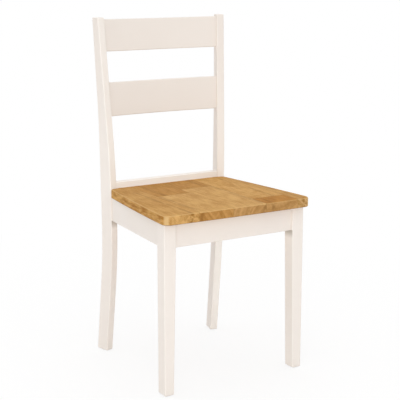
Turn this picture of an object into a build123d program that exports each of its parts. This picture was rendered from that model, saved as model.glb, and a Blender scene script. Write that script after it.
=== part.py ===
from build123d import *
import os
from math import atan, cos, degrees, radians, sin, tan

# Wooden dining chair: a painted frame with a toed-in ladder back, and a solid seat of glued oak blocks.
# Millimetres, +Z up, the sitter faces -Y. The origin is on the floor at the middle of the chair's box.
# The left (-X) half of the frame is modelled, and the right half is its mirror image.

# Heights above the floor
chair_height = 950.0
seat_height = 483.0

# Seat panel: five rows of glued oak blocks that run front to back
seat_thickness = 25.0
seat_front_overhang = 21.0
seat_side_overhang = 10.0
seat_rear_inset = 2.0
seat_edge_bow = 3.0
seat_front_corner_radius = 20.0
seat_rear_corner_radius = 5.0
seat_top_edge_radius = 4.0
seat_lower_edge_radius = 2.0
seat_clearance = 0.3
first_row_width = 100.0
inner_row_width = 101.5
last_row_width = 45.5
row_2_joint = 220.0
row_3_joint = 270.0
row_4_joint = 68.5

# Front legs, tapered on their two inner faces below the aprons
leg_span = 430.0
leg_width = 35.0
leg_depth = 37.0
foot_width = 27.0
foot_depth = 36.5
leg_edge_radius = 2.5
foot_chamfer = 2.0

# Back posts: flat boards sawn to a sabre outline, toed in towards the sitter and leaning outwards
post_span = 372.0
post_set_back = 351.5
post_thickness = 22.0
post_toe = 13.7
post_lean = 0.9
post_seat_depth = 43.0
post_foot_depth = 41.5
post_top_depth = 25.0
foot_sweep = 37.5
top_sweep = 31.5
low_bend_drop = 96.5
front_bend_rise = 68.0
rear_bend_rise = 189.0
rear_bend_run = 72.0
post_edge_radius = 2.5

# Bent rails of the back, from the top down
crest_rail_drop = 5.0
crest_rail_height = 87.0
back_rail_gap = 84.0
mid_rail_height = 92.5
back_rail_thickness = 16.0
back_rail_inset = 6.0
back_rail_edge_radius = 2.5

# Aprons under the seat, and the taller rail between the posts
apron_height = 66.5
apron_thickness = 18.0
front_apron_inset = 8.0
side_apron_inset = 4.5
rear_rail_thickness = 20.0
rear_rail_inset = 1.5
rear_rail_rise = 16.5
apron_edge_radius = 1.5

# Joints: round-ended tenons in the posts, dowels in the front legs
tenon_thickness = 8.0
tenon_length = 14.0
tenon_shoulder = 12.0
tenon_spacing = 6.0
side_tenon_length = 20.0
side_tenon_height = 28.0
side_tenon_rise = 6.0
dowel_radius = 4.0
dowel_length = 28.0
front_dowel_inset = 12.0
side_dowel_inset = 22.0
glue_gap = 0.15

# Corner blocks and the screws through them
block_reach = 58.0
block_height = 30.0
block_screw_grip = 12.0
block_screw_bite = 14.0
block_screw_place = 36.0
seat_screw_grip = 22.0
seat_screw_bite = 13.0
seat_screw_place = 15.0
screw_radius = 2.0
screw_head_radius = 4.0
screw_head_height = 2.4
screw_recess_width = 1.0
screw_tip_length = 5.0
screw_gap = 0.1
head_gap = 0.5

# Nail-on glides under the feet
glide_radius = 8.5
glide_thickness = 2.0
glide_chamfer = 0.5
nail_radius = 1.0
nail_length = 16.0
nail_head_radius = 3.0
nail_head_height = 0.8
nail_recess = 1.2
nail_gap = 0.1

# Places that follow from the sizes above
seat_underside = seat_height - seat_thickness
apron_bottom = seat_underside - apron_height
rear_rail_top = seat_height + rear_rail_rise
crest_rail_bottom = chair_height - crest_rail_drop - crest_rail_height
mid_rail_bottom = crest_rail_bottom - back_rail_gap - mid_rail_height
low_bend_height = apron_bottom - low_bend_drop
front_bend_height = seat_height + front_bend_rise
rear_bend_height = seat_height + rear_bend_rise
toe_sin, toe_cos = sin(radians(post_toe)), cos(radians(post_toe))
lean_sin, lean_cos = sin(radians(post_lean)), cos(radians(post_lean))
back_rake = degrees(atan(top_sweep / (chair_height - front_bend_height)))
front_reach = seat_front_overhang + seat_edge_bow
rear_reach = post_set_back + (foot_sweep + post_foot_depth) * toe_cos + post_thickness * toe_sin
leg_front = (front_reach - rear_reach) / 2
leg_rear = leg_front + leg_depth
leg_outer = -leg_span / 2
leg_inner = leg_outer + leg_width
apron_front = leg_front + front_apron_inset
apron_back = apron_front + apron_thickness
post_front = leg_front + post_set_back
rear_rail_front = post_front + post_thickness * toe_sin + rear_rail_inset

# Faces of the left post: each plane looks out of the wood, with its y axis up from the seat's top
depth_dir = Vector(-toe_sin, toe_cos, 0)
across_dir = Vector(toe_cos, toe_sin, 0)
inward_dir = across_dir * lean_cos + Vector(0, 0, lean_sin)
post_corner = Vector(-post_span / 2, post_front, seat_height)
outer_face = Plane(post_corner, x_dir=depth_dir, z_dir=inward_dir)
inner_face = outer_face.offset(post_thickness)
front_face = Plane(post_corner, x_dir=across_dir, z_dir=-depth_dir)

# Lines of the left side apron in plan
x_dir = Vector(1, 0, 0)
side_dir = Vector((leg_span - post_span) / 2, post_set_back, 0).normalized()
side_inward = Vector(side_dir.Y, -side_dir.X, 0)
side_outer_point = Vector(leg_outer + side_apron_inset, leg_front, 0)
side_middle_point = side_outer_point + side_inward * (apron_thickness / 2)
side_inner_point = side_outer_point + side_inward * apron_thickness


def meet(point, direction, other_point, other_direction):
    """The point in plan where two lines cross."""
    cross = direction.X * other_direction.Y - direction.Y * other_direction.X
    gap = other_point - point
    reach = (gap.X * other_direction.Y - gap.Y * other_direction.X) / cross
    return Vector(point.X + direction.X * reach, point.Y + direction.Y * reach)


def on_side_apron(point, y):
    """The point of a side apron's line at one place front to back."""
    return meet(point, side_dir, Vector(0, y, 0), x_dir)


def swept(sweep, bend_height, height):
    """How far an edge of the post has moved back at a height above its bend."""
    return sweep * (height - bend_height) / (chair_height - bend_height)


def bend_radius(sweep, length, run):
    """Radius of the arc between an upright line and one that moves by sweep over a length."""
    return run / tan(atan(sweep / length) / 2)


# Screws: each plane's origin is under the head, and its z axis points out of the wood
block_screw_length = block_screw_grip + block_screw_bite
seat_screw_length = seat_screw_grip + seat_screw_bite
block_middle = seat_underside - block_height / 2
seat_screw_head = seat_underside - seat_screw_grip
block_corner = meet(side_inner_point, side_dir, Vector(0, rear_rail_front, 0), x_dir)
front_apron_screw = Plane(
    (leg_inner + block_screw_place, apron_back + block_screw_grip, block_middle), z_dir=(0, 1, 0)
)
rear_rail_screw = Plane(
    (block_corner.X + block_screw_place, rear_rail_front - block_screw_grip, block_middle), z_dir=(0, -1, 0)
)
side_screws = [
    Plane(
        on_side_apron(side_inner_point, y) + side_inward * block_screw_grip + Vector(0, 0, block_middle),
        z_dir=side_inward,
    )
    for y in (leg_rear + block_screw_place, rear_rail_front - block_screw_place)
]
seat_screws = [
    Plane((side * x, y, seat_screw_head), z_dir=(0, 0, -1))
    for side in (1, -1)
    for x, y in (
        (leg_inner + seat_screw_place, leg_rear + seat_screw_place),
        (block_corner.X + seat_screw_place, rear_rail_front - seat_screw_place),
    )
]

# Dowels: each plane's origin is in the joint, half way along the dowel
front_dowels = [
    Plane((leg_inner, (apron_front + apron_back) / 2, height), z_dir=(1, 0, 0))
    for height in (apron_bottom + front_dowel_inset, seat_underside - front_dowel_inset)
]
side_dowels = [
    Plane(on_side_apron(side_middle_point, leg_rear) + Vector(0, 0, height), z_dir=(0, 1, 0))
    for height in (apron_bottom + side_dowel_inset, seat_underside - side_dowel_inset)
]

# Top of the side aprons' tenons
side_tenon_top = apron_bottom + side_tenon_rise + side_tenon_height

# Middles of the left feet on the floor
post_foot = outer_face.from_local_coords(
    (foot_sweep + post_foot_depth / 2, -seat_height, post_thickness / 2)
)
feet = [
    Plane((leg_outer + foot_width / 2, leg_front + foot_depth / 2, 0)),
    Plane((post_foot.X, post_foot.Y, 0)),
]


def tenon(face, across, up, height, tilt, length, gap=0.0, mode=Mode.ADD):
    """Grows a round-ended tenon into a post's face, or cuts its mortise with a gap all round."""
    with BuildSketch(face) as section:
        with Locations((across, up)):
            SlotOverall(height + 2 * gap, tenon_thickness + 2 * gap, rotation=90 - tilt)
    extrude(section.sketch, amount=-length - gap, mode=mode)


def back_rail_tenon(bottom, height, **cut):
    """The tenon of a bent rail, in the middle of the rail's end."""
    middle = bottom + height / 2
    across = swept(top_sweep, front_bend_height, middle) + back_rail_inset + back_rail_thickness / 2
    tenon(inner_face, across, middle - seat_height, height - 2 * tenon_shoulder, back_rake, tenon_length, **cut)


def side_apron_tenon(**cut):
    """The tenon of a side apron, low in the middle of the post's front face."""
    middle = side_tenon_top - side_tenon_height / 2
    tenon(front_face, post_thickness / 2, middle - seat_height, side_tenon_height, 0, side_tenon_length, **cut)


def rear_rail_tenon(**cut):
    """The tenon of the rail between the posts, above the side aprons' tenons."""
    across = (rear_rail_inset + rear_rail_thickness / 2) / toe_cos
    top = rear_rail_top - tenon_shoulder
    bottom = side_tenon_top + tenon_spacing
    tenon(inner_face, across, (top + bottom) / 2 - seat_height, top - bottom, 0, tenon_length, **cut)


def dowel_holes(joints):
    """Drills the holes of the dowels in these joints."""
    with Locations(*joints):
        Cylinder(dowel_radius + glue_gap, dowel_length + 2 * glue_gap, mode=Mode.SUBTRACT)


def pilot_holes(screws, length):
    """Drills the holes that these screws are driven into."""
    with Locations(*screws):
        Hole(screw_radius + screw_gap, depth=length + screw_gap)


# Front legs
with BuildPart() as front_leg_left:
    for height, width, depth in ((glide_thickness, foot_width, foot_depth), (apron_bottom, leg_width, leg_depth)):
        with BuildSketch(Plane.XY.offset(height)):
            with Locations((leg_outer, leg_front)):
                RectangleRounded(width, depth, leg_edge_radius, align=(Align.MIN, Align.MIN))
    loft()
    extrude(faces().sort_by(Axis.Z)[-1], amount=apron_height)
    chamfer(faces().sort_by(Axis.Z)[0].edges(), foot_chamfer)
    dowel_holes(front_dowels + side_dowels)
    with Locations(feet[0]):
        Cylinder(nail_radius + nail_gap, 2 * (nail_length + nail_recess), mode=Mode.SUBTRACT)

with BuildPart() as front_leg_right:
    mirror(front_leg_left.part, about=Plane.YZ)

# Back posts
with BuildPart() as back_post_left:
    board_top = chair_height + post_thickness
    rear_foot_sweep = foot_sweep + post_foot_depth - post_seat_depth
    rear_top_sweep = top_sweep + post_top_depth - post_seat_depth
    low_run = apron_bottom - low_bend_height
    with BuildSketch(outer_face):
        with BuildLine():
            front_edge = FilletPolyline(
                (foot_sweep, -seat_height),
                (0, low_bend_height - seat_height),
                (0, front_bend_height - seat_height),
                (swept(top_sweep, front_bend_height, board_top), board_top - seat_height),
                radius=[
                    bend_radius(foot_sweep, low_bend_height, low_run),
                    bend_radius(top_sweep, chair_height - front_bend_height, front_bend_height - seat_height),
                ],
            )
            rear_edge = FilletPolyline(
                (post_seat_depth + rear_foot_sweep, -seat_height),
                (post_seat_depth, low_bend_height - seat_height),
                (post_seat_depth, rear_bend_height - seat_height),
                (post_seat_depth + swept(rear_top_sweep, rear_bend_height, board_top), board_top - seat_height),
                radius=[
                    bend_radius(rear_foot_sweep, low_bend_height, low_run),
                    bend_radius(rear_top_sweep, chair_height - rear_bend_height, rear_bend_run),
                ],
            )
            Line(front_edge @ 0, rear_edge @ 0)
            Line(front_edge @ 1, rear_edge @ 1)
        make_face()
    extrude(amount=post_thickness)
    split(bisect_by=Plane.XY.offset(glide_thickness), keep=Keep.TOP)
    split(bisect_by=Plane.XY.offset(chair_height), keep=Keep.BOTTOM)
    seams = edges().filter_by(Axis((0, 0, 0), inward_dir))
    fillet(edges() - seams, post_edge_radius)
    back_rail_tenon(crest_rail_bottom, crest_rail_height, gap=glue_gap, mode=Mode.SUBTRACT)
    back_rail_tenon(mid_rail_bottom, mid_rail_height, gap=glue_gap, mode=Mode.SUBTRACT)
    rear_rail_tenon(gap=glue_gap, mode=Mode.SUBTRACT)
    side_apron_tenon(gap=glue_gap, mode=Mode.SUBTRACT)
    with Locations(feet[1]):
        Cylinder(nail_radius + nail_gap, 2 * (nail_length + nail_recess), mode=Mode.SUBTRACT)

with BuildPart() as back_post_right:
    mirror(back_post_left.part, about=Plane.YZ)


# Bent rails
def bent_rail(bottom, height):
    """A slat between the posts, bent so that it meets them squarely, and raked as they are.

    It is bent past the post's inner face, which then trims it.
    """
    inset = swept(top_sweep, front_bend_height, bottom) + back_rail_inset
    end = inner_face.from_local_coords((inset, bottom - seat_height, 0))
    radius = -end.X / toe_sin
    rake_dir = Vector(0, sin(radians(back_rake)), cos(radians(back_rake)))
    with BuildPart() as rail:
        with BuildSketch(Plane((0, end.Y, end.Z), x_dir=x_dir, z_dir=rake_dir)):
            with BuildLine():
                centre = (0, -radius * toe_cos)
                front = CenterArc(centre, radius, 90, 2 * post_toe)
                back = CenterArc(centre, radius + back_rail_thickness, 90, 2 * post_toe)
                Line(front @ 0, back @ 0)
                Line(front @ 1, back @ 1)
            make_face()
        extrude(amount=height / rake_dir.Z)
        fillet(edges().filter_by(GeomType.CIRCLE), back_rail_edge_radius)
        split(bisect_by=inner_face, keep=Keep.TOP)
        back_rail_tenon(bottom, height)
        mirror(about=Plane.YZ)
    return rail


mid_rail = bent_rail(mid_rail_bottom, mid_rail_height)
crest_rail = bent_rail(crest_rail_bottom, crest_rail_height)

# Rail between the posts
with BuildPart() as rear_seat_rail:
    with BuildSketch(Plane.XY.offset(apron_bottom)):
        with Locations((0, rear_rail_front)):
            Rectangle(post_span / 2, rear_rail_thickness, align=(Align.MAX, Align.MIN))
    extrude(amount=rear_rail_top - apron_bottom)
    fillet(edges().filter_by(Axis.X), apron_edge_radius)
    split(bisect_by=inner_face, keep=Keep.TOP)
    rear_rail_tenon()
    pilot_holes([rear_rail_screw], block_screw_length)
    mirror(about=Plane.YZ)

# Aprons
with BuildPart() as front_apron:
    with BuildSketch(Plane.XY.offset(apron_bottom)):
        with Locations((0, apron_front)):
            Rectangle(-leg_inner, apron_thickness, align=(Align.MAX, Align.MIN))
    extrude(amount=apron_height)
    fillet(edges().group_by(Axis.Z)[0].filter_by(Axis.X), apron_edge_radius)
    dowel_holes(front_dowels)
    pilot_holes([front_apron_screw], block_screw_length)
    mirror(about=Plane.YZ)

with BuildPart() as side_apron_left:
    with BuildSketch(Plane.XY.offset(apron_bottom)):
        with BuildLine():
            Polyline(
                on_side_apron(side_outer_point, leg_rear),
                meet(side_outer_point, side_dir, post_corner, across_dir),
                meet(side_inner_point, side_dir, post_corner, across_dir),
                on_side_apron(side_inner_point, leg_rear),
                close=True,
            )
        make_face()
    extrude(amount=apron_height)
    fillet(edges().group_by(Axis.Z)[0].filter_by(Axis((0, 0, 0), side_dir)), apron_edge_radius)
    side_apron_tenon()
    dowel_holes(side_dowels)
    pilot_holes(side_screws, block_screw_length)

with BuildPart() as side_apron_right:
    mirror(side_apron_left.part, about=Plane.YZ)


# Corner blocks
def corner_block(outline, screws, seat_screw):
    """A block under the seat, with sunk holes for the screws into the rails and up into the seat."""
    with BuildPart() as block:
        with BuildSketch(Plane.XY.offset(seat_underside - block_height)):
            with BuildLine():
                Polyline(*outline, close=True)
            make_face()
        extrude(amount=block_height)
        with Locations(*[screw.offset(block_reach) for screw in [*screws, seat_screw]]):
            CounterBoreHole(screw_radius + screw_gap, screw_head_radius + head_gap, block_reach)
    return block


corner_block_front_left = corner_block(
    [
        Vector(leg_inner, apron_back, 0),
        Vector(leg_inner + block_reach, apron_back, 0),
        on_side_apron(side_inner_point, leg_rear + block_reach),
        on_side_apron(side_inner_point, leg_rear),
        Vector(leg_inner, leg_rear, 0),
    ],
    [front_apron_screw, side_screws[0]],
    seat_screws[0],
)
corner_block_rear_left = corner_block(
    [
        block_corner,
        Vector(block_corner.X + block_reach, rear_rail_front, 0),
        on_side_apron(side_inner_point, rear_rail_front - block_reach),
    ],
    [rear_rail_screw, side_screws[1]],
    seat_screws[1],
)

with BuildPart() as corner_block_front_right:
    mirror(corner_block_front_left.part, about=Plane.YZ)

with BuildPart() as corner_block_rear_right:
    mirror(corner_block_rear_left.part, about=Plane.YZ)

# Seat panel before it is divided into its blocks
seat_front = leg_front - front_reach
with BuildPart() as seat_panel:
    with BuildSketch(Plane.XY.offset(seat_underside)):
        gap_point = post_corner - depth_dir * seat_clearance
        side_x = seat_rear_inset - post_span / 2
        front_corner = Vector(leg_outer - seat_side_overhang, leg_front - seat_front_overhang, 0)
        rear_corner = meet(gap_point, across_dir, Vector(side_x, 0, 0), Vector(0, 1, 0))
        rail_corner = meet(gap_point, across_dir, Vector(0, rear_rail_front, 0), x_dir)
        with BuildLine():
            Polyline((0, seat_front), (0, rear_rail_front), rail_corner, rear_corner)
            SagittaArc(front_corner, rear_corner, seat_edge_bow)
            TangentArc((0, seat_front), front_corner, tangent=(-1, 0))
        make_face()
        fillet(vertices().sort_by_distance(front_corner)[0], seat_front_corner_radius)
        fillet(vertices().sort_by_distance(rear_corner)[0], seat_rear_corner_radius)
        mirror(about=Plane.YZ)
    extrude(amount=seat_thickness)
    fillet(faces().sort_by(Axis.Z)[-1].edges(), seat_top_edge_radius)
    fillet(faces().sort_by(Axis.Z)[0].edges(), seat_lower_edge_radius)
    pilot_holes(seat_screws, seat_screw_length)

# The rows are set out from both sides of the seat, and row 4 takes what is left between them
seat_left = front_corner.X
row_2_left = seat_left + first_row_width
row_3_left = row_2_left + inner_row_width
row_4_left = row_3_left + inner_row_width
row_5_left = -seat_left - last_row_width


def stave(left, right, front, rear):
    """One glued block of the seat panel, from one joint to the next."""
    with BuildPart() as block:
        add(seat_panel.part)
        with Locations((left, front, seat_underside)):
            Box(right - left, rear - front, seat_thickness, align=Align.MIN, mode=Mode.INTERSECT)
    return block


seat_stave_1 = stave(seat_left, row_2_left, seat_front, rear_rail_front)
seat_stave_2_front = stave(row_2_left, row_3_left, seat_front, seat_front + row_2_joint)
seat_stave_2_rear = stave(row_2_left, row_3_left, seat_front + row_2_joint, rear_rail_front)
seat_stave_3_front = stave(row_3_left, row_4_left, seat_front, seat_front + row_3_joint)
seat_stave_3_rear = stave(row_3_left, row_4_left, seat_front + row_3_joint, rear_rail_front)
seat_stave_4_front = stave(row_4_left, row_5_left, seat_front, seat_front + row_4_joint)
seat_stave_4_rear = stave(row_4_left, row_5_left, seat_front + row_4_joint, rear_rail_front)
seat_stave_5 = stave(row_5_left, -seat_left, seat_front, rear_rail_front)

# Dowels
with BuildPart() as front_leg_dowels:
    with Locations(*front_dowels, *side_dowels):
        Cylinder(dowel_radius, dowel_length)
    mirror(about=Plane.YZ)


# Screws
def wood_screw(length):
    """A pan-head screw with a cross recess: its head stands on the plane z = 0 and its shank is below."""
    with BuildPart() as screw:
        with BuildSketch(Plane.XZ):
            with BuildLine():
                Polyline(
                    (0, screw_head_height),
                    (screw_head_radius - screw_head_height / 2, screw_head_height),
                    (screw_head_radius, screw_head_height / 2),
                    (screw_head_radius, 0),
                    (screw_radius, 0),
                    (screw_radius, screw_tip_length - length),
                    (0, -length),
                    close=True,
                )
            make_face()
        revolve(axis=Axis.Z)
        with Locations((0, 0, screw_head_height)):
            Box(screw_head_radius, screw_recess_width, screw_head_height, mode=Mode.SUBTRACT)
            Box(screw_recess_width, screw_head_radius, screw_head_height, mode=Mode.SUBTRACT)
    return screw.part


with BuildPart() as corner_block_screws:
    with Locations(front_apron_screw, rear_rail_screw, *side_screws):
        add(wood_screw(block_screw_length))
    mirror(about=Plane.YZ)

with BuildPart() as seat_fixing_screws:
    with Locations(*seat_screws):
        add(wood_screw(seat_screw_length))

# Glides and their nails
with BuildPart() as foot_glides:
    with Locations(*feet):
        Cylinder(glide_radius, glide_thickness, align=(Align.CENTER, Align.CENTER, Align.MIN))
    chamfer(faces().group_by(Axis.Z)[0].edges(), glide_chamfer)
    with Locations(*feet):
        Cylinder(nail_radius + nail_gap, 4 * glide_thickness, mode=Mode.SUBTRACT)
        Cylinder(nail_head_radius + nail_gap, 2 * nail_recess, mode=Mode.SUBTRACT)
    mirror(about=Plane.YZ)

with BuildPart() as glide_nails:
    with Locations(*[foot.offset(nail_recess) for foot in feet]):
        Cylinder(nail_radius, nail_length, align=(Align.CENTER, Align.CENTER, Align.MIN))
        Cylinder(nail_head_radius, nail_head_height, align=(Align.CENTER, Align.CENTER, Align.MAX))
    mirror(about=Plane.YZ)

pieces = {
    "front_leg_left": front_leg_left,
    "front_leg_right": front_leg_right,
    "back_post_left": back_post_left,
    "back_post_right": back_post_right,
    "crest_rail": crest_rail,
    "mid_rail": mid_rail,
    "rear_seat_rail": rear_seat_rail,
    "front_apron": front_apron,
    "side_apron_left": side_apron_left,
    "side_apron_right": side_apron_right,
    "corner_block_front_left": corner_block_front_left,
    "corner_block_front_right": corner_block_front_right,
    "corner_block_rear_left": corner_block_rear_left,
    "corner_block_rear_right": corner_block_rear_right,
    "seat_stave_1": seat_stave_1,
    "seat_stave_2_front": seat_stave_2_front,
    "seat_stave_2_rear": seat_stave_2_rear,
    "seat_stave_3_front": seat_stave_3_front,
    "seat_stave_3_rear": seat_stave_3_rear,
    "seat_stave_4_front": seat_stave_4_front,
    "seat_stave_4_rear": seat_stave_4_rear,
    "seat_stave_5": seat_stave_5,
    "front_leg_dowels": front_leg_dowels,
    "corner_block_screws": corner_block_screws,
    "seat_screws": seat_fixing_screws,
    "foot_glides": foot_glides,
    "glide_nails": glide_nails,
}
os.makedirs("parts", exist_ok=True)
for name, piece in pieces.items():
    piece.part.label = name
    export_step(piece.part, f"parts/{name}.step")
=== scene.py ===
# %% [markdown]
# # A painted dining chair with an oak seat
#
# The chair's pieces come from a CAD model, at their real size, so this lesson is about finishes, light and
# the camera. We load the pieces, set up the photograph's view, then give each kind of surface its own
# procedural material: satin ivory paint, oiled oak, bare hardwood, zinc-plated steel and nylon.

# %% Load the chair
import bpy
from math import radians
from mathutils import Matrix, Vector


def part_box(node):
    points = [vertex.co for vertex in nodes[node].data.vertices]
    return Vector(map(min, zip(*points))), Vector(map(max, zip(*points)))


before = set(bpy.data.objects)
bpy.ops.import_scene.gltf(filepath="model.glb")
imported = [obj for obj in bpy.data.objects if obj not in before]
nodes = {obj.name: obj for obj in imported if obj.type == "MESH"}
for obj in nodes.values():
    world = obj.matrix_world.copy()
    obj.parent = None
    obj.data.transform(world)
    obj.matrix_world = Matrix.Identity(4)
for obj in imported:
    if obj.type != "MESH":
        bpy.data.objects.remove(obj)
scene = bpy.context.scene
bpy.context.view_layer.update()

# %% [markdown]
# ## The camera
#
# The photograph is a catalogue view: a long lens, a little above the seat, from the chair's front left.
# The place and angles below come from fitting a camera to the chair's edges in the photograph. A long lens
# keeps the legs almost parallel, which is why a wide lens close by would never match.

# %% Place the camera
CAMERA_PLACE = (-1.5204, -2.5276, 1.0912)
CAMERA_HEADING = -31.26
CAMERA_DIP = 12.1
LENS_MM = 99.1
SENSOR_MM = 36.0

camera_data = bpy.data.cameras.new("photo_camera")
camera_data.lens = LENS_MM
camera_data.sensor_width = SENSOR_MM
camera_data.sensor_fit = "HORIZONTAL"
camera = bpy.data.objects.new("photo_camera", camera_data)
camera.location = CAMERA_PLACE
camera.rotation_euler = (radians(90 - CAMERA_DIP), 0, radians(CAMERA_HEADING))
scene.collection.objects.link(camera)
scene.camera = camera
print("camera at", CAMERA_PLACE, "lens", LENS_MM)

# %% [markdown]
# ## Nodes without repetition
#
# A material is a tree of nodes. Setting up each one takes several lines, so a few helpers do it. `add_node`
# adds a node and sets or links its inputs. The others add the nodes that we need most often and return the
# socket with the result, so that a tree reads like a formula.

# %% Helper: any node
def add_node(tree, kind, inputs=None, **settings):
    """Adds a node, sets its properties, and sets or links its inputs."""
    node = tree.nodes.new(kind)
    for name, value in settings.items():
        setattr(node, name, value)
    for name, value in (inputs or {}).items():
        if isinstance(value, bpy.types.NodeSocket):
            tree.links.new(value, node.inputs[name])
        else:
            node.inputs[name].default_value = value
    return node


# %% Helpers: numbers and masks
def calc(tree, operation, first, second=0.0, third=0.0):
    """The result of one Math node."""
    node = add_node(tree, "ShaderNodeMath", {0: first, 1: second, 2: third}, operation=operation)
    return node.outputs[0]


def weighted(tree, parts, start=0.0):
    """A sum of sockets, each multiplied by its weight, kept between 0 and 1."""
    total = start
    for value, weight in parts:
        total = calc(tree, "MULTIPLY_ADD", value, weight, total)
    return add_node(tree, "ShaderNodeClamp", {"Value": total}).outputs["Result"]


def ramp(tree, value, low, high):
    """A mask that goes smoothly from 0 at low to 1 at high."""
    node = add_node(
        tree,
        "ShaderNodeMapRange",
        {"Value": value, "From Min": low, "From Max": high},
        interpolation_type="SMOOTHSTEP",
    )
    return node.outputs["Result"]


# %% Helpers: colours
def mix(tree, mask, below, above):
    """One colour over another, by a mask."""
    node = add_node(tree, "ShaderNodeMix", {"Factor": mask, 6: below, 7: above}, data_type="RGBA")
    return node.outputs[2]


def stain(tree, colour, mask, strength, above):
    """A colour with another over it where a mask is 1, as strong as said."""
    return mix(tree, calc(tree, "MULTIPLY", mask, strength), colour, above)


def shade(colour, factor):
    """A colour made darker or lighter by a factor."""
    return [min(1.0, channel * factor) for channel in colour[:3]] + [1.0]


# %% Helpers: places and directions
def coordinates(tree, kind):
    """Texture coordinates of one kind: Object for places, Normal for directions."""
    return add_node(tree, "ShaderNodeTexCoord").outputs[kind]


def vector(tree, operation, first, second=(0, 0, 0)):
    """The result of one Vector Math node that gives a vector."""
    node = add_node(tree, "ShaderNodeVectorMath", {0: first, 1: second}, operation=operation)
    return node.outputs["Vector"]


def split(tree, value):
    """The X, Y and Z parts of a vector."""
    return add_node(tree, "ShaderNodeSeparateXYZ", {"Vector": value}).outputs


def stretch(tree, place, factors):
    """A place with each of its axes multiplied."""
    return vector(tree, "MULTIPLY", place, factors)


def grain_place(tree, turn, offset=(0, 0, 0)):
    """Object coordinates, turned so that the wood's grain runs along Y."""
    mapped = add_node(
        tree,
        "ShaderNodeMapping",
        {
            "Vector": coordinates(tree, "Object"),
            "Rotation": [radians(angle) for angle in turn],
            "Location": offset,
        },
    )
    return mapped.outputs["Vector"]


# %% Helper: noise
def noise(tree, place, scale=1.0, detail=2.0, roughness=0.5):
    """A noise texture's value, about 0.5 on average."""
    node = add_node(
        tree,
        "ShaderNodeTexNoise",
        {"Vector": place, "Scale": scale, "Detail": detail, "Roughness": roughness},
    )
    return node.outputs["Fac"]


# %% Helpers: groups
def new_group(name, inputs, outputs):
    """An empty shader node group with these sockets, and its input and output nodes."""
    group = bpy.data.node_groups.new(name, "ShaderNodeTree")
    for socket, kind in inputs.items():
        group.interface.new_socket(socket, in_out="INPUT", socket_type=kind)
    for socket in outputs:
        group.interface.new_socket(socket, in_out="OUTPUT", socket_type="NodeSocketFloat")
    return group, group.nodes.new("NodeGroupInput"), group.nodes.new("NodeGroupOutput")


def set_outputs(group, outlet, values):
    """Links a group's results to its output sockets."""
    for socket, value in values.items():
        group.links.new(value, outlet.inputs[socket])


def use_group(tree, group, inputs=None):
    """Places a node group in a material with its own values, and returns its outputs."""
    return add_node(tree, "ShaderNodeGroup", inputs, node_tree=group).outputs


# %% Helpers: materials
def new_material(name):
    """A material with only its Principled shader, its tree, and that shader."""
    material = bpy.data.materials.new(name)
    material.use_nodes = True
    return material, material.node_tree, material.node_tree.nodes["Principled BSDF"]


def add_bump(tree, shader, height, strength, distance):
    """Makes a shader's surface rise and sink by a height between 0 and 1."""
    bump = add_node(tree, "ShaderNodeBump", {"Height": height, "Strength": strength, "Distance": distance})
    tree.links.new(bump.outputs["Normal"], shader.inputs["Normal"])


def dress(names, material):
    """Gives these CAD pieces one material."""
    for name in names:
        nodes[name].data.materials.clear()
        nodes[name].data.materials.append(material)


# %% [markdown]
# ## How wood is figured
#
# A board is a slice through a tree: its rings are nested tubes along the grain. If we measure each point's
# distance from the tree's pith, and repeat a light and dark ring along that distance, the face shows long
# stripes and the ends show arcs, with no extra work. Slow noise along the grain makes the tubes waver, good
# and bad years make broader bands of rings, and oil that soaks in unevenly clouds the tone. Oak's pores are
# short dark streaks, and crowd into the start of each ring. Its rays are thin sheets that point at the pith:
# dashes on one face, pale flecks on another, and fine spokes on the ends. The seat and the blocks under it
# share all this as a node group.

# %% Sizes of the wood's marks
# How often the noise of each mark repeats in a metre: across the board, along the grain, and in the thickness
WAVER_RATE = (14.0, 2.2, 14.0)
CLOUD_RATE = (26.0, 17.0, 26.0)
PATCH_RATE = (120.0, 22.0, 120.0)
PORE_RATE = (2400.0, 85.0, 2400.0)
FIBRE_RATE = (450.0, 9.0, 450.0)
# The same for bands, along the radius and the grain, and for rays, along the radius, the grain and the angle
BAND_RATE = (85.0, 3.0, 1.0)
RAY_RATE = (70.0, 150.0, 110.0)
# Shares of a ring's width: where it darkens, where it ends, and where its early wood is
RING_DARKENS = (0.1, 0.8)
RING_ENDS = (1.0, 0.88)
EARLY_WOOD = (0.55, 0.05)
# How strong pores still are outside the early wood
LATE_PORES = 0.25
# Values of the noise between which pores and rays begin, and a dark streak breaks off
PORE_LIMITS = (0.58, 0.72)
RAY_LIMITS = (0.6, 0.7)
STREAK_BREAKS = (0.3, 0.6)
# A dark streak's half width, from its border to its core, and how far it wavers, in metres
STREAK_WIDTH = (0.009, 0.001)
STREAK_WAVER = 0.02
print("finest mark:", round(1000 / max(PORE_RATE), 2), "mm")


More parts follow.
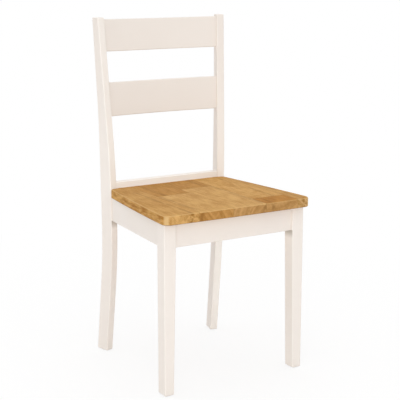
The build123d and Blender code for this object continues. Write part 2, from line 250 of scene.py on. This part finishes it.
# %% Node group: wood figure
def make_wood_figure():
    """Rings, clouds, patches, pores, rays and fibres of a board whose grain runs along Y, in metres."""
    group, inlet, outlet = new_group(
        "wood figure",
        {
            "Vector": "NodeSocketVector",
            "Pith X": "NodeSocketFloat",
            "Pith Z": "NodeSocketFloat",
            "Ring Width": "NodeSocketFloat",
            "Waver": "NodeSocketFloat",
            "Streak X": "NodeSocketFloat",
        },
        ["Rings", "Bands", "Clouds", "Patches", "Streak", "Pores", "Rays", "Fibres"],
    )
    place = inlet.outputs["Vector"]
    parts = split(group, place)

    # The distance from the pith, and how far along its ring each point is
    waver = calc(group, "SUBTRACT", noise(group, stretch(group, place, WAVER_RATE), detail=3.0), 0.5)
    across = calc(group, "SUBTRACT", parts["X"], inlet.outputs["Pith X"])
    height = calc(group, "SUBTRACT", parts["Z"], inlet.outputs["Pith Z"])
    squares = calc(group, "ADD", calc(group, "POWER", across, 2.0), calc(group, "POWER", height, 2.0))
    radius = calc(group, "MULTIPLY_ADD", waver, inlet.outputs["Waver"], calc(group, "SQRT", squares))
    phase = calc(group, "FRACT", calc(group, "DIVIDE", radius, inlet.outputs["Ring Width"]))

    # Slow changes of tone
    rings = calc(group, "MULTIPLY", ramp(group, phase, *RING_DARKENS), ramp(group, phase, *RING_ENDS))
    years = add_node(group, "ShaderNodeCombineXYZ", {"X": radius, "Y": parts["Y"]}).outputs["Vector"]
    bands = noise(group, stretch(group, years, BAND_RATE), detail=3.0, roughness=0.6)
    clouds = noise(group, stretch(group, place, CLOUD_RATE), detail=1.0)
    patches = noise(group, stretch(group, place, PATCH_RATE), detail=3.0, roughness=0.6)
    beside = calc(group, "SUBTRACT", parts["X"], inlet.outputs["Streak X"])
    beside = calc(group, "ABSOLUTE", calc(group, "MULTIPLY_ADD", waver, STREAK_WAVER, beside))
    streak = calc(group, "MULTIPLY", ramp(group, beside, *STREAK_WIDTH), ramp(group, patches, *STREAK_BREAKS))

    # Fine marks
    early = ramp(group, phase, *EARLY_WOOD)
    dashes = ramp(group, noise(group, stretch(group, place, PORE_RATE), detail=1.0), *PORE_LIMITS)
    crowding = calc(group, "MULTIPLY_ADD", early, 1.0 - LATE_PORES, LATE_PORES)
    pores = calc(group, "MULTIPLY", dashes, crowding)
    angle = calc(group, "ARCTAN2", height, across)
    sheets = {"X": radius, "Y": parts["Y"], "Z": angle}
    sheets = add_node(group, "ShaderNodeCombineXYZ", sheets).outputs["Vector"]
    rays = ramp(group, noise(group, stretch(group, sheets, RAY_RATE), detail=2.0), *RAY_LIMITS)
    fibres = noise(group, stretch(group, place, FIBRE_RATE), detail=4.0, roughness=0.65)

    set_outputs(group, outlet, {"Rings": rings, "Bands": bands, "Clouds": clouds, "Patches": patches})
    set_outputs(group, outlet, {"Streak": streak, "Pores": pores, "Rays": rays, "Fibres": fibres})
    return group


wood_figure = make_wood_figure()
print("group:", wood_figure.name, "nodes:", len(wood_figure.nodes))

# %% [markdown]
# ## Eased edges
#
# Every edge of the chair is rounded over. Hands and cloths polish these edges first: oil is thinner there
# and the oak is paler, and paint draws away from them and is a little smoother. The pale edges are partly a
# painted highlight. Edges that look down get a dark line of painted shade. On a flat face one part of the
# normal is close to 1. On a rounded edge no part is, so that alone finds the edges, and the sign of the
# upright part tells which look down.
# This stays right when the camera moves, because it only asks about the shape.

# %% Node group: eased edge
# Limits of the normal's largest part on an edge, and of its upright part on an edge that looks down
EDGE_LIMITS = (0.97, 0.82)
LOOKS_DOWN = (-0.15, -0.5)
ABOVE_UNDERSIDE = (-0.98, -0.9)


def make_eased_edge():
    """Masks of the rounded edges between a piece's faces, and of those of them that look down."""
    group, _, outlet = new_group("eased edge", {}, ["Edge", "Lower Edge"])
    normal = coordinates(group, "Normal")
    sizes = split(group, vector(group, "ABSOLUTE", normal))
    largest = calc(group, "MAXIMUM", calc(group, "MAXIMUM", sizes["X"], sizes["Y"]), sizes["Z"])
    edge = ramp(group, largest, *EDGE_LIMITS)
    upward = split(group, normal)["Z"]
    lower = calc(group, "MULTIPLY", ramp(group, upward, *LOOKS_DOWN), ramp(group, upward, *ABOVE_UNDERSIDE))
    set_outputs(group, outlet, {"Edge": edge, "Lower Edge": lower})
    return group


eased_edge = make_eased_edge()
print("group:", eased_edge.name)

# %% [markdown]
# ## Glue lines
#
# The seat's blocks are planed flush after gluing, so a joint is only a hairline, a little darker than the
# wood. Each block knows its own box, so the line is simply the narrow zone next to the box's sides. Sides
# that are the seat's outer edge have no joint, and their limit is moved far out.

# %% Node group: glue line
def make_glue_line():
    """A mask of the narrow zone inside a box's four upright sides, in metres."""
    group, inlet, outlet = new_group(
        "glue line",
        {"Low": "NodeSocketVector", "High": "NodeSocketVector", "Width": "NodeSocketFloat"},
        ["Line"],
    )
    place = coordinates(group, "Object")
    above = vector(group, "SUBTRACT", place, inlet.outputs["Low"])
    below = vector(group, "SUBTRACT", inlet.outputs["High"], place)
    nearest = split(group, vector(group, "MINIMUM", above, below))
    inside = calc(group, "MINIMUM", nearest["X"], nearest["Y"])
    set_outputs(group, outlet, {"Line": ramp(group, inside, inlet.outputs["Width"], 0.0)})
    return group


glue_line = make_glue_line()
print("group:", glue_line.name)

# %% [markdown]
# ## The oak seat
#
# The seat is glued up from oak blocks, some golden and some brown, which is what makes it look solid: a
# veneer wouldn't change tone and grain from block to block, and show end grain at the front edge. So each
# block has its own material, made by one function, with its own colours and its own place in a tree: where
# the pith lies beside it, and how far the board was tilted to the log, which turns stripes into arches.
#
# Three things vary over one block. Its top follows the grain. Its outer side is mottled, because the saw cut
# through the rings at a slant there. Its ends drink more oil than the rest, so they have stronger colours of
# their own, in arcs that follow the rings.

# %% Oak: its top, side and ends
TONE_START = -2.155
SIDE_SHADE = 1.06
DARK_SIDE = (0.37, 0.155, 0.022, 1.0)
SIDE_MOTTLE = (0.32, 0.68)
END_ARCS = (0.31, 0.69)
# How strong each mark is, and how much darker or lighter than the oak
STREAK_STRENGTH, STREAK_SHADE = 0.6, 0.75
RAY_STRENGTH, RAY_SHADE = 0.3, 1.18
PORE_STRENGTH, PORE_SHADE = 0.55, 0.5
END_STREAK_STRENGTH, END_STREAK_SHADE = 0.8, 0.8


def oak_top(tree, figure, light, dark):
    """The colour along the grain, darker where the figure's marks add up."""
    tone = weighted(
        tree,
        [
            (figure["Rings"], 0.3),
            (figure["Bands"], 0.4),
            (figure["Clouds"], 1.35),
            (figure["Patches"], 1.9),
            (figure["Fibres"], 1.4),
        ],
        TONE_START,
    )
    colour = mix(tree, tone, light, dark)
    colour = stain(tree, colour, figure["Streak"], STREAK_STRENGTH, shade(dark, STREAK_SHADE))
    colour = stain(tree, colour, figure["Rays"], RAY_STRENGTH, shade(light, RAY_SHADE))
    return stain(tree, colour, figure["Pores"], PORE_STRENGTH, shade(dark, PORE_SHADE))


def oak_side(tree, figure, light):
    """The mottled colour of an outer side."""
    return mix(tree, ramp(tree, figure["Patches"], *SIDE_MOTTLE), shade(light, SIDE_SHADE), DARK_SIDE)


def oak_end(tree, figure, light, dark):
    """The colour of the end grain, in arcs."""
    arcs = weighted(tree, [(figure["Patches"], 0.4), (figure["Bands"], 0.6)])
    colour = mix(tree, ramp(tree, arcs, *END_ARCS), light, dark)
    return stain(tree, colour, figure["Streak"], END_STREAK_STRENGTH, shade(dark, END_STREAK_SHADE))


# %% Oak for one block
RING_WIDTH = 0.0036
RING_WAVER = 0.014
GLUE_LINE_WIDTH = 0.0011
GLUE_STRENGTH, GLUE_SHADE = 0.45, 0.4
# Painted shade: the dark line on edges that look down, how strong and how much darker than the oak
PAINTED_EDGE_SHADE_STRENGTH, PAINTED_EDGE_SHADE_FACTOR = 0.8, 0.45
# Paler edges, partly wear and partly a painted highlight
WORN_OAK_AND_HIGHLIGHT = (0.76, 0.53, 0.26, 1.0)
WEAR_AND_HIGHLIGHT_STRENGTH = 0.6
# The share of wear and painted highlight that an edge loses as it turns up
LESS_WEAR_AND_HIGHLIGHT_UPWARD = 0.5
# A side's or an end's colour takes over between these sizes of the normal's X or Y part
TAKES_OVER = (0.75, 0.97)
OAK_ROUGHNESS = 0.52
OAK_SPECULAR = 0.12
OAK_BUMP_LEVEL = 0.75
OAK_BUMP_STRENGTH, OAK_BUMP_DISTANCE = 0.3, 0.0003


def make_oak(name, colours, end_colours, pith, tilt, streak, seed, box):
    """Oiled oak with its grain front to back, and its own light and dark colours on the ends."""
    light, dark = colours
    material, tree, shader = new_material(name)
    inputs = {
        "Vector": grain_place(tree, (tilt, 0, 0), (seed, seed, seed)),
        "Pith X": pith[0] + seed,
        "Pith Z": pith[1] + seed,
        "Ring Width": RING_WIDTH,
        "Waver": RING_WAVER,
        "Streak X": streak + seed,
    }
    figure = use_group(tree, wood_figure, inputs)
    eased = use_group(tree, eased_edge)
    edge, lower_edge = eased["Edge"], eased["Lower Edge"]
    line = use_group(tree, glue_line, {"Low": box[0], "High": box[1], "Width": GLUE_LINE_WIDTH})["Line"]
    facing = split(tree, vector(tree, "ABSOLUTE", coordinates(tree, "Normal")))
    # Wear and a painted highlight on the edges, less where they look down or turn up
    wear_and_highlight = calc(tree, "MULTIPLY", edge, calc(tree, "SUBTRACT", 1.0, lower_edge))
    wear_and_highlight = calc(tree, "MULTIPLY", wear_and_highlight, calc(tree, "MULTIPLY_ADD", facing["Z"], -LESS_WEAR_AND_HIGHLIGHT_UPWARD, 1.0))

    colour = oak_top(tree, figure, light, dark)
    colour = mix(tree, ramp(tree, facing["X"], *TAKES_OVER), colour, oak_side(tree, figure, light))
    colour = mix(tree, ramp(tree, facing["Y"], *TAKES_OVER), colour, oak_end(tree, figure, *end_colours))
    # Wear and a painted highlight on the edges
    colour = stain(tree, colour, wear_and_highlight, WEAR_AND_HIGHLIGHT_STRENGTH, WORN_OAK_AND_HIGHLIGHT)
    # Painted shade along the edges that look down
    colour = stain(tree, colour, lower_edge, PAINTED_EDGE_SHADE_STRENGTH, shade(dark, PAINTED_EDGE_SHADE_FACTOR))
    colour = stain(tree, colour, line, GLUE_STRENGTH, shade(dark, GLUE_SHADE))
    tree.links.new(colour, shader.inputs["Base Color"])

    dull = weighted(tree, [(figure["Pores"], 0.2), (figure["Fibres"], 0.15), (edge, -0.08)], OAK_ROUGHNESS)
    tree.links.new(dull, shader.inputs["Roughness"])
    height = weighted(tree, [(figure["Pores"], -0.6), (figure["Fibres"], 0.25), (line, -0.5)], OAK_BUMP_LEVEL)
    add_bump(tree, shader, height, OAK_BUMP_STRENGTH, OAK_BUMP_DISTANCE)
    shader.inputs["Specular IOR Level"].default_value = OAK_SPECULAR
    return material


# %% The blocks of the seat
# A light and a dark colour for each kind of oak, and for each kind of end
GOLDEN = ((0.655, 0.385, 0.13, 1.0), (0.49, 0.25, 0.062, 1.0))
AMBER = ((0.65, 0.37, 0.117, 1.0), (0.49, 0.245, 0.053, 1.0))
HONEY = ((0.61, 0.345, 0.105, 1.0), (0.44, 0.21, 0.042, 1.0))
BROWN = ((0.54, 0.272, 0.063, 1.0), (0.39, 0.172, 0.024, 1.0))
RUSSET = ((0.505, 0.228, 0.036, 1.0), (0.365, 0.145, 0.01, 1.0))
PALE_END = ((0.70, 0.412, 0.148, 1.0), (0.305, 0.125, 0.013, 1.0))
STRAW_END = ((0.76, 0.49, 0.225, 1.0), (0.36, 0.175, 0.035, 1.0))
BROWN_END = ((0.58, 0.312, 0.098, 1.0), (0.365, 0.165, 0.036, 1.0))
TAN_END = ((0.58, 0.33, 0.122, 1.0), (0.375, 0.188, 0.055, 1.0))
OUTER_EDGE_ZONE = 0.02
FAR_OUT = 1.0

# Each block's colours, colours of its ends, pith (across, up), tilt to the log, and dark streak
OAK_BLOCKS = {
    "seat_stave_1": (HONEY, PALE_END, (-0.10, 0.56), 2.0, -0.15),
    "seat_stave_2_front": (GOLDEN, BROWN_END, (-0.16, 0.40), 5.0, -0.12),
    "seat_stave_2_rear": (BROWN, BROWN_END, (-0.02, 0.41), -4.0, -0.10),
    "seat_stave_3_front": (GOLDEN, TAN_END, (0.13, 0.40), 1.5, 0.073),
    "seat_stave_3_rear": (BROWN, BROWN_END, (0.04, 0.40), 6.0, 0.06),
    "seat_stave_4_front": (RUSSET, TAN_END, (0.10, 0.58), 3.0, 0.10),
    "seat_stave_4_rear": (AMBER, PALE_END, (0.12, 0.39), -5.0, 0.15),
    "seat_stave_5": (HONEY, STRAW_END, (0.28, 0.56), 1.0, 0.20),
}

boxes = {name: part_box(name) for name in OAK_BLOCKS}
seat_low = [min(box[0][axis] for box in boxes.values()) for axis in range(3)]
seat_high = [max(box[1][axis] for box in boxes.values()) for axis in range(3)]
for seed, (name, (colours, end_colours, pith, tilt, streak)) in enumerate(OAK_BLOCKS.items(), start=1):
    low, high = boxes[name]
    low = [low[axis] - FAR_OUT * (low[axis] < seat_low[axis] + OUTER_EDGE_ZONE) for axis in range(3)]
    high = [high[axis] + FAR_OUT * (high[axis] > seat_high[axis] - OUTER_EDGE_ZONE) for axis in range(3)]
    dress([name], make_oak(f"oak {name}", colours, end_colours, pith, tilt, streak, seed, (low, high)))
print("oak blocks:", len(OAK_BLOCKS))

# %% [markdown]
# ## Satin ivory paint
#
# The frame is sprayed. A sprayed film is smooth, but not flat: it has a faint orange peel, and the wood
# below still shows as fine lines along the grain. Both go into the bump. The colour barely changes, so it
# only gets a slow drift of a percent or two, and is a trace lighter on the edges, partly where the film
# draws off them and partly as a painted highlight. Shade is painted into the colour too: a grey line along
# the lower edges, and a dark zone on the inner faces of the legs and posts, just below the rails.

# %% Node group: paint film
DRIFT_RATE = 9.0
PEEL_RATE = 700.0
LINE_RATE = (900.0, 14.0, 900.0)
PEEL_SHARE = 0.4
LINE_SHARE = 0.6


def make_paint_film():
    """Slow drift of a painted colour, and the film's height, for a piece whose grain runs along Y."""
    group, inlet, outlet = new_group("paint film", {"Vector": "NodeSocketVector"}, ["Drift", "Height"])
    place = inlet.outputs["Vector"]
    drift = noise(group, place, DRIFT_RATE, detail=3.0)
    peel = noise(group, place, PEEL_RATE, detail=2.0)
    lines = noise(group, stretch(group, place, LINE_RATE), detail=3.0)
    height = calc(group, "MULTIPLY_ADD", lines, LINE_SHARE, calc(group, "MULTIPLY", peel, PEEL_SHARE))
    set_outputs(group, outlet, {"Drift": drift, "Height": height})
    return group


paint_film = make_paint_film()
print("group:", paint_film.name)

# %% Painted shade below the rails
# How far the painted shade reaches below and above the rails' lower edge, in metres
PAINTED_SHADE_DEPTH = 0.026
PAINTED_SHADE_TOP = 0.003
# Limits of how far a face looks towards the chair's middle, as a dot product
LOOKS_INWARD = (0.02, 0.1)

rail_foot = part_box("front_apron")[0][2]


def painted_corner_shade(tree):
    """A mask of the faces that look into the chair, just below the rails, where shade is painted."""
    place = add_node(tree, "ShaderNodeTexCoord").outputs
    towards_middle = stretch(tree, place["Object"], (-1.0, -1.0, 0.0))
    inward = add_node(
        tree,
        "ShaderNodeVectorMath",
        {0: place["Normal"], 1: towards_middle},
        operation="DOT_PRODUCT",
    ).outputs["Value"]
    level = split(tree, place["Object"])["Z"]
    zone = calc(
        tree,
        "MULTIPLY",
        ramp(tree, level, rail_foot - PAINTED_SHADE_DEPTH, rail_foot),
        ramp(tree, level, rail_foot + PAINTED_SHADE_TOP, rail_foot),
    )
    return calc(tree, "MULTIPLY", ramp(tree, inward, *LOOKS_INWARD), zone)


# The height below which shade is painted on the inner faces
print("painted_shade below", rail_foot, "m")

# %% Ivory paint along one direction
IVORY_LIGHT = (0.90, 0.833, 0.773, 1.0)
IVORY_SHADE = (0.875, 0.803, 0.738, 1.0)
# Paler edges, partly thinner paint and partly a painted highlight
IVORY_THIN_EDGE_AND_HIGHLIGHT = (0.915, 0.857, 0.802, 1.0)
# Painted shade along the edges that look down
IVORY_PAINTED_EDGE_SHADE = (0.70, 0.62, 0.54, 1.0)
# Painted shade on the inner faces of the legs and posts, just below the rails
PAINTED_CORNER_SHADE = (0.41, 0.355, 0.285, 1.0)
THIN_EDGE_AND_HIGHLIGHT_STRENGTH = 0.6
PAINTED_CORNER_SHADE_STRENGTH = 0.85
PAINT_ROUGHNESS = 0.36
PAINT_BUMP_STRENGTH, PAINT_BUMP_DISTANCE = 0.12, 0.0002


def make_ivory(name, turn, with_painted_shade=False):
    """Satin ivory paint over wood whose grain is turned to Y by these angles."""
    material, tree, shader = new_material(name)
    film = use_group(tree, paint_film, {"Vector": grain_place(tree, turn)})
    eased = use_group(tree, eased_edge)
    edge = eased["Edge"]
    colour = mix(tree, film["Drift"], IVORY_LIGHT, IVORY_SHADE)
    # A trace lighter on the edges: thinner paint and a painted highlight
    colour = stain(tree, colour, edge, THIN_EDGE_AND_HIGHLIGHT_STRENGTH, IVORY_THIN_EDGE_AND_HIGHLIGHT)
    # Painted shade along the edges that look down
    colour = mix(tree, eased["Lower Edge"], colour, IVORY_PAINTED_EDGE_SHADE)
    # Painted shade on the inner faces, just below the rails
    if with_painted_shade:
        colour = stain(tree, colour, painted_corner_shade(tree), PAINTED_CORNER_SHADE_STRENGTH, PAINTED_CORNER_SHADE)
    tree.links.new(colour, shader.inputs["Base Color"])
    dull = weighted(tree, [(film["Drift"], 0.12), (edge, -0.06)], PAINT_ROUGHNESS)
    tree.links.new(dull, shader.inputs["Roughness"])
    add_bump(tree, shader, film["Height"], PAINT_BUMP_STRENGTH, PAINT_BUMP_DISTANCE)
    return material


uprights = ["front_leg_left", "front_leg_right", "back_post_left", "back_post_right"]
rails = ["crest_rail", "mid_rail", "rear_seat_rail", "front_apron"]
side_aprons = ["side_apron_left", "side_apron_right"]
dress(uprights, make_ivory("ivory upright", (90, 0, 0), with_painted_shade=True))
dress(rails, make_ivory("ivory across", (0, 0, 90)))
dress(side_aprons, make_ivory("ivory along", (0, 0, 0)))
print("painted pieces:", len(uprights) + len(rails) + len(side_aprons))

# %% [markdown]
# ## What shows from below
#
# Under the seat, the corner blocks are bare hardwood, held by zinc-plated screws, and each foot stands on
# a nylon glide with a nail. They are small, but the underside of a chair is seen whenever it is carried.
# The blocks keep the marks of the saw, fine ridges across the grain. The glides are scuffed underneath.

# %% Bare wood
BARE_LIGHT = (0.66, 0.48, 0.29, 1.0)
BARE_DARK = (0.52, 0.35, 0.19, 1.0)
BARE_PORES = (0.3, 0.18, 0.09, 1.0)
BARE_PORE_STRENGTH = 0.4
BARE_TONE_START = -0.3
BARE_ROUGHNESS = 0.6
BARE_GROWTH = {"Pith X": 0.02, "Pith Z": 0.3, "Ring Width": 0.003, "Waver": 0.006}
SAW_MARK_SPACING = 0.0016
SAW_BUMP_STRENGTH, SAW_BUMP_DISTANCE = 0.3, 0.0004
# A wave texture at scale 1 repeats after this length, in metres
WAVE_LENGTH = 0.314


def make_bare_wood():
    """Sawn pale hardwood, its grain across the corner."""
    material, tree, shader = new_material("bare hardwood")
    place = grain_place(tree, (0, 0, 45))
    figure = use_group(tree, wood_figure, {"Vector": place, **BARE_GROWTH})
    saw = add_node(
        tree,
        "ShaderNodeTexWave",
        {"Vector": place, "Scale": WAVE_LENGTH / SAW_MARK_SPACING, "Distortion": 2.5, "Detail": 2.0},
        bands_direction="Y",
    ).outputs["Fac"]
    tone = weighted(tree, [(figure["Rings"], 0.35), (figure["Bands"], 0.9), (saw, 0.12)], BARE_TONE_START)
    colour = mix(tree, tone, BARE_LIGHT, BARE_DARK)
    colour = stain(tree, colour, figure["Pores"], BARE_PORE_STRENGTH, BARE_PORES)
    tree.links.new(colour, shader.inputs["Base Color"])
    dull = weighted(tree, [(figure["Fibres"], 0.25)], BARE_ROUGHNESS)
    tree.links.new(dull, shader.inputs["Roughness"])
    add_bump(tree, shader, saw, SAW_BUMP_STRENGTH, SAW_BUMP_DISTANCE)
    return material


corner_blocks = [name for name in nodes if name.startswith("corner_block_") and not name.endswith("screws")]
dress([*corner_blocks, "front_leg_dowels"], make_bare_wood())
print("bare blocks:", len(corner_blocks))

# %% Zinc
ZINC_WARM = (0.64, 0.63, 0.58, 1.0)
ZINC_COOL = (0.48, 0.50, 0.50, 1.0)
ZINC_ROUGHNESS = 0.2
ZINC_CLOUD_RATE = 900.0


def make_zinc():
    """Bright zinc plating, a little uneven."""
    material, tree, shader = new_material("zinc plating")
    cloud = noise(tree, coordinates(tree, "Object"), ZINC_CLOUD_RATE, detail=3.0)
    tree.links.new(mix(tree, cloud, ZINC_WARM, ZINC_COOL), shader.inputs["Base Color"])
    tree.links.new(weighted(tree, [(cloud, 0.3)], ZINC_ROUGHNESS), shader.inputs["Roughness"])
    shader.inputs["Metallic"].default_value = 1.0
    return material


fasteners = ["corner_block_screws", "seat_screws", "glide_nails"]
dress(fasteners, make_zinc())
print("zinc pieces:", len(fasteners))

# %% Nylon
NYLON_CLEAN = (0.80, 0.79, 0.74, 1.0)
NYLON_SCUFFED = (0.50, 0.48, 0.43, 1.0)
NYLON_ROUGHNESS = 0.35
SCRATCH_RATE = (500.0, 2500.0, 500.0)
SCRATCH_LIMITS = (0.42, 0.62)
ON_THE_FLOOR = (-0.8, -0.98)


def make_nylon():
    """Milky nylon, scuffed and grey where it slides on the floor."""
    material, tree, shader = new_material("nylon")
    upward = split(tree, coordinates(tree, "Normal"))["Z"]
    scratches = noise(tree, stretch(tree, coordinates(tree, "Object"), SCRATCH_RATE), detail=4.0)
    scuff = calc(tree, "MULTIPLY", ramp(tree, upward, *ON_THE_FLOOR), ramp(tree, scratches, *SCRATCH_LIMITS))
    tree.links.new(mix(tree, scuff, NYLON_CLEAN, NYLON_SCUFFED), shader.inputs["Base Color"])
    tree.links.new(weighted(tree, [(scuff, 0.35)], NYLON_ROUGHNESS), shader.inputs["Roughness"])
    return material


dress(["foot_glides"], make_nylon())
print("glides dressed")

# %% [markdown]
# ## Floor and light
#
# The photograph is a cut-out on white, lit so softly that it has hardly any shadow. A white world does the
# same, as a light tent does. It is bright overhead and dim at the sides, and one wide lamp at the front left
# makes up for that on the faces that we see. A brown seat throws brown light on the rail behind it, and the
# photograph shows little of that. So a cool spot lamp lights the lower back, and light linking keeps it off
# the other pieces, as a photographer does with a card. Three more cool lamps do the same: one from the left
# for the front right leg and one low down for the rear right leg, which the rest of the chair shades, and one
# from the right for the top of the left post, which is turned away from the wide lamp.
#
# The floor is a plain white sheet. The camera sees it mostly as plain white, mixed with a little of its own
# shading, which keeps the faint shadows under the feet. Further out there is no shadow to keep, so the floor
# is all white there, and no horizon shows.

# %% Rays that see the background
PLAIN_WHITE = (1.0, 1.0, 1.0, 1.0)


def seen_directly(tree):
    """1 for rays that see the background itself: from the camera, or in a reflection or through glass."""
    path = add_node(tree, "ShaderNodeLightPath").outputs
    seen = calc(tree, "MAXIMUM", path["Is Camera Ray"], path["Is Glossy Ray"])
    return calc(tree, "MAXIMUM", seen, path["Is Transmission Ray"])


# %% Floor
FLOOR_SIZE = 16.0
FLOOR_COLOUR = (0.97, 0.97, 0.97, 1.0)
FLOOR_WHITENESS = 0.8
SHADOW_REACH = 0.5
WHITE_BEYOND = 1.6

bpy.ops.object.select_all(action="DESELECT")
bpy.ops.mesh.primitive_plane_add(size=FLOOR_SIZE, location=(0, 0, 0))
floor = bpy.context.object
floor.name = "floor"
floor_material, floor_tree, floor_shader = new_material("white floor")
floor_shader.inputs["Base Color"].default_value = FLOOR_COLOUR
floor_shader.inputs["Roughness"].default_value = 1.0
floor_shader.inputs["Specular IOR Level"].default_value = 0.0
floor_place = coordinates(floor_tree, "Object")
distance = add_node(floor_tree, "ShaderNodeVectorMath", {0: floor_place}, operation="LENGTH").outputs["Value"]
far = ramp(floor_tree, distance, SHADOW_REACH, WHITE_BEYOND)
whiteness = calc(floor_tree, "MULTIPLY_ADD", far, 1.0 - FLOOR_WHITENESS, FLOOR_WHITENESS)
plain_floor = add_node(floor_tree, "ShaderNodeEmission", {"Color": PLAIN_WHITE, "Strength": 1.0})
floor_mix = add_node(
    floor_tree,
    "ShaderNodeMixShader",
    {
        0: calc(floor_tree, "MULTIPLY", seen_directly(floor_tree), whiteness),
        1: floor_shader.outputs["BSDF"],
        2: plain_floor.outputs["Emission"],
    },
)
floor_tree.links.new(floor_mix.outputs[0], floor_tree.nodes["Material Output"].inputs["Surface"])
floor.data.materials.append(floor_material)
print("floor:", FLOOR_SIZE, "m")

# %% World
SKY_AT_HORIZON = 0.1
SKY_OVERHEAD = 1.4

world = bpy.data.worlds.new("white tent")
scene.world = world
world.use_nodes = True
sky = world.node_tree
upward = split(sky, coordinates(sky, "Generated"))["Z"]
upward = add_node(sky, "ShaderNodeClamp", {"Value": upward}).outputs["Result"]
light = calc(sky, "MULTIPLY_ADD", upward, SKY_OVERHEAD - SKY_AT_HORIZON, SKY_AT_HORIZON)
plain = calc(sky, "SUBTRACT", 1.0, light)
strength = calc(sky, "MULTIPLY_ADD", seen_directly(sky), plain, light)
background = sky.nodes["Background"]
background.inputs["Color"].default_value = PLAIN_WHITE
sky.links.new(strength, background.inputs["Strength"])
print("sky:", SKY_AT_HORIZON, "to", SKY_OVERHEAD)


# %% Helpers: lamps
def add_lamp(name, kind, place, aim, watts, **settings):
    """A lamp at a place, aimed at a point of the chair."""
    data = bpy.data.lights.new(name, kind)
    data.energy = watts
    for setting, value in settings.items():
        setattr(data, setting, value)
    lamp = bpy.data.objects.new(name, data)
    lamp.location = place
    lamp.rotation_euler = (Vector(aim) - Vector(place)).to_track_quat("-Z", "Y").to_euler()
    scene.collection.objects.link(lamp)
    return lamp


def light_only(lamp, names):
    """Keeps a lamp's light to these pieces."""
    lit_pieces = bpy.data.collections.new(f"lit by the {lamp.name}")
    for name in names:
        lit_pieces.objects.link(nodes[name])
    lamp.light_linking.receiver_collection = lit_pieces


# %% Lamps
COOL_LIGHT = (0.74, 0.92, 1.0)
WIDE_DISK = {"shape": "DISK", "size": 2.4}
COOL_DISK = {"shape": "DISK", "size": 0.4, "color": COOL_LIGHT}
COOL_SPOT = {"shadow_soft_size": 0.15, "color": COOL_LIGHT}

chair_middle = (0, 0, 0.45)
lower_back = (-0.025, 0.17, 0.49)
front_right_leg = (0.19, -0.19, 0.2)
rear_right_leg = (0.18, 0.18, 0.2)
left_post_top = (-0.2, 0.22, 0.9)

add_lamp("wide lamp", "AREA", place=(-2.3, -3.38, 1.4), aim=chair_middle, watts=44.3, **WIDE_DISK)
spot = add_lamp("spot lamp", "SPOT", place=(-0.3, -3.4, 1.2), aim=lower_back, watts=160, **COOL_SPOT)
side = add_lamp("side lamp", "AREA", place=(-2.4, -0.7, 0.3), aim=front_right_leg, watts=4.7, **COOL_DISK)
low = add_lamp("low lamp", "SPOT", place=(-0.1, -3.0, 0.2), aim=rear_right_leg, watts=66, **COOL_SPOT)
high = add_lamp("high lamp", "SPOT", place=(0.6, -3.2, 1.3), aim=left_post_top, watts=58, **COOL_SPOT)
# Each spot lamp's cone, in degrees, and the share of it that fades out
for lamp, cone, blend in ((spot, 10, 1.0), (low, 9, 0.5), (high, 7, 1.0)):
    lamp.data.spot_size = radians(cone)
    lamp.data.spot_blend = blend
# The pieces that each cool lamp lights
for lamp, names in (
    (spot, ["rear_seat_rail", "back_post_left", "back_post_right"]),
    (side, ["front_leg_right"]),
    (low, ["back_post_right"]),
    (high, ["back_post_left"]),
):
    light_only(lamp, names)
scene.view_settings.view_transform = "Standard"
print("lamps:", len(bpy.data.lights))
